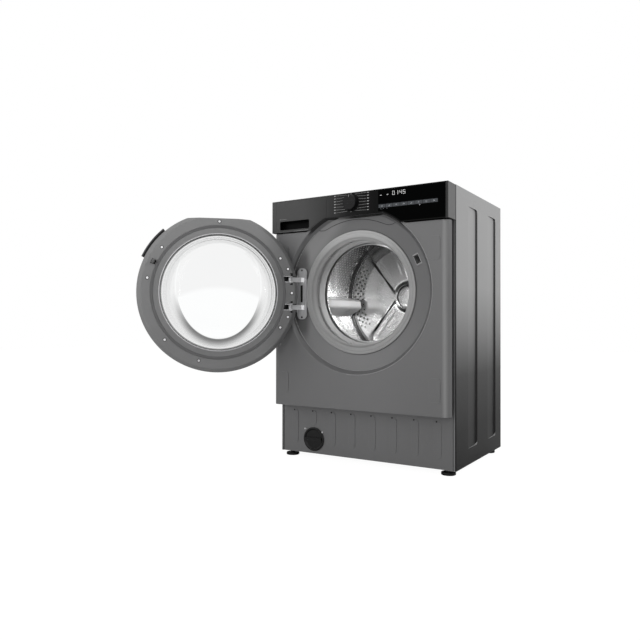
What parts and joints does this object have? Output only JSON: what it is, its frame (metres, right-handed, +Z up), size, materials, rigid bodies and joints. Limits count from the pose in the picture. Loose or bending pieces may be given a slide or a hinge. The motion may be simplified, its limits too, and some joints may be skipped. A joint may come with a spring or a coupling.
{
  "type": "washing machine",
  "caption": "Built-in front-loading washing machine with its round door swung open, showing a clear bowl, steel drum, control panel, detergent drawer and kick panel.",
  "frame": {"origin": "on the floor, halfway across the cabinet, in the plane of the side panels' front edges", "axes": "+X to the right for someone who faces the machine, +Y into the machine, +Z up"},
  "size_m": [0.8594, 0.8593, 0.82],
  "materials": {
    "side_paint": "satin",
    "front_paint": "satin",
    "galvanised": "dull",
    "fascia_black": "satin",
    "display_black": "glossy",
    "knob_metal": "satin",
    "board_green": "matte",
    "case_plastic": "matte",
    "tray_plastic": "satin",
    "siphon_blue": "satin",
    "housing_plastic": "matte",
    "valve_plastic": "matte",
    "hose_rubber": "matte",
    "tub_plastic": "matte",
    "screw_steel": "satin",
    "gasket_rubber": "satin",
    "weight": "rough",
    "spring_steel": "satin",
    "damper_steel": "satin",
    "heater_steel": "satin",
    "pump_plastic": "matte",
    "cap_black": "satin",
    "filter_grey": "matte",
    "motor_metal": "dull",
    "rotor_metal": "dull",
    "belt_rubber": "matte",
    "bearing_steel": "polished",
    "seal_rubber": "matte",
    "shaft_steel": "polished",
    "drum_steel": "polished",
    "spider_alloy": "cast",
    "lifter_plastic": "satin",
    "pulley_alloy": "dull",
    "door_grey": "satin",
    "door_dark": "satin",
    "door_glass": "clear",
    "hinge_chrome": "bright",
    "lock_black": "matte",
    "latch_grey": "satin",
    "foot_black": "matte"
  },
  "bodies": {
    "cabinet": {"side_panel_right": "side_paint", "side_panel_left": "side_paint", "top_panel": "galvanised", "rear_panel": "galvanised", "rear_cover": "galvanised", "base_tray": "galvanised", "frame_rails": "galvanised", "front_panel": "front_paint", "kick_panel": "front_paint", "control_fascia": "fascia_black", "display_window": "display_black", "ui_board": "board_green", "power_module": "case_plastic", "dispenser_housing": "housing_plastic", "inlet_valve": "valve_plastic", "water_hoses": "hose_rubber", "drain_spigot": "case_plastic", "mains_inlet": "case_plastic", "tub_front": "tub_plastic", "tub_rear": "tub_plastic", "tub_screws": "screw_steel", "gasket": "gasket_rubber", "gasket_clamp": "spring_steel", "counterweights": "weight", "suspension_springs": "spring_steel", "dampers": "damper_steel", "heater": "heater_steel", "sump_hose": "hose_rubber", "drain_pump": "pump_plastic", "motor_housing": "motor_metal", "drive_belt": "belt_rubber", "drum_bearings": "bearing_steel", "shaft_seal": "seal_rubber", "hinge_bracket": "hinge_chrome", "hinge_pin": "hinge_chrome", "door_lock": "lock_black"},
    "door": {"door_outer_frame": "door_dark", "door_inner_frame": "door_grey", "door_glass": "door_glass", "door_screws": "screw_steel", "door_hinge_leaf": "screw_steel"},
    "latch": {"latch_hook": "latch_grey"},
    "drum": {"drum_shaft": "shaft_steel", "drum_shell": "drum_steel", "drum_rear": "drum_steel", "drum_spider": "spider_alloy", "drum_lifters": "lifter_plastic", "drum_pulley": "pulley_alloy"},
    "rotor": {"motor_rotor": "rotor_metal"},
    "drawer": {"drawer_front": "fascia_black", "drawer_tray": "tray_plastic", "siphon_cap": "siphon_blue"},
    "knob": {"program_knob": "knob_metal"},
    "filter": {"filter_cap": "cap_black", "filter_insert": "filter_grey"},
    "impeller": {"pump_impeller": "case_plastic"},
    "foot_front_left_body": {"foot_front_left": "foot_black"},
    "foot_front_right_body": {"foot_front_right": "foot_black"},
    "foot_rear_left_body": {"foot_rear_left": "foot_black"},
    "foot_rear_right_body": {"foot_rear_right": "foot_black"}
  },
  "joints": [
    {"name": "door_swing", "type": "hinge", "parent": "cabinet", "child": "door", "pos_m": [-0.222, -0.0625, 0.524], "axis": [0, 0, 1], "range_deg": [0, 136.4]},
    {"name": "latch_pivot", "type": "hinge", "parent": "door", "child": "latch", "pos_m": [-0.50796, -0.36451, 0.61334], "axis": [0.3038, 0.2893, 0.9078], "range_deg": [0, 8], "stiffness_Nm_per_rad": 0.4},
    {"name": "drum_spin", "type": "hinge", "parent": "cabinet", "child": "drum", "pos_m": [0, 0.35, 0.524], "axis": [0, 1, 0], "continuous": true},
    {"name": "motor_spin", "type": "hinge", "parent": "cabinet", "child": "rotor", "pos_m": [0.105, 0.336, 0.15], "axis": [0, 1, 0], "continuous": true},
    {"name": "drawer_slide", "type": "slide", "parent": "cabinet", "child": "drawer", "axis": [0, -1, 0], "range_m": [0, 0.19]},
    {"name": "knob_turn", "type": "hinge", "parent": "cabinet", "child": "knob", "pos_m": [-0.007, -0.06, 0.79], "axis": [0, -1, 0], "continuous": true},
    {"name": "filter_turn", "type": "hinge", "parent": "cabinet", "child": "filter", "pos_m": [-0.1725, 0, 0.0615], "axis": [0, -1, 0], "range_deg": [0, 90]},
    {"name": "impeller_spin", "type": "hinge", "parent": "cabinet", "child": "impeller", "pos_m": [-0.1725, 0.113, 0.0615], "axis": [0, 1, 0], "continuous": true},
    {"name": "foot_front_left_screw", "type": "slide", "parent": "cabinet", "child": "foot_front_left_body", "axis": [0, 0, -1], "range_m": [0, 0.02]},
    {"name": "foot_front_right_screw", "type": "slide", "parent": "cabinet", "child": "foot_front_right_body", "axis": [0, 0, -1], "range_m": [0, 0.02]},
    {"name": "foot_rear_left_screw", "type": "slide", "parent": "cabinet", "child": "foot_rear_left_body", "axis": [0, 0, -1], "range_m": [0, 0.02]},
    {"name": "foot_rear_right_screw", "type": "slide", "parent": "cabinet", "child": "foot_rear_right_body", "axis": [0, 0, -1], "range_m": [0, 0.02]}
  ],
  "couplings": [
    {"joint": "motor_spin", "follows": "drum_spin", "ratio": 12.727}
  ]
}
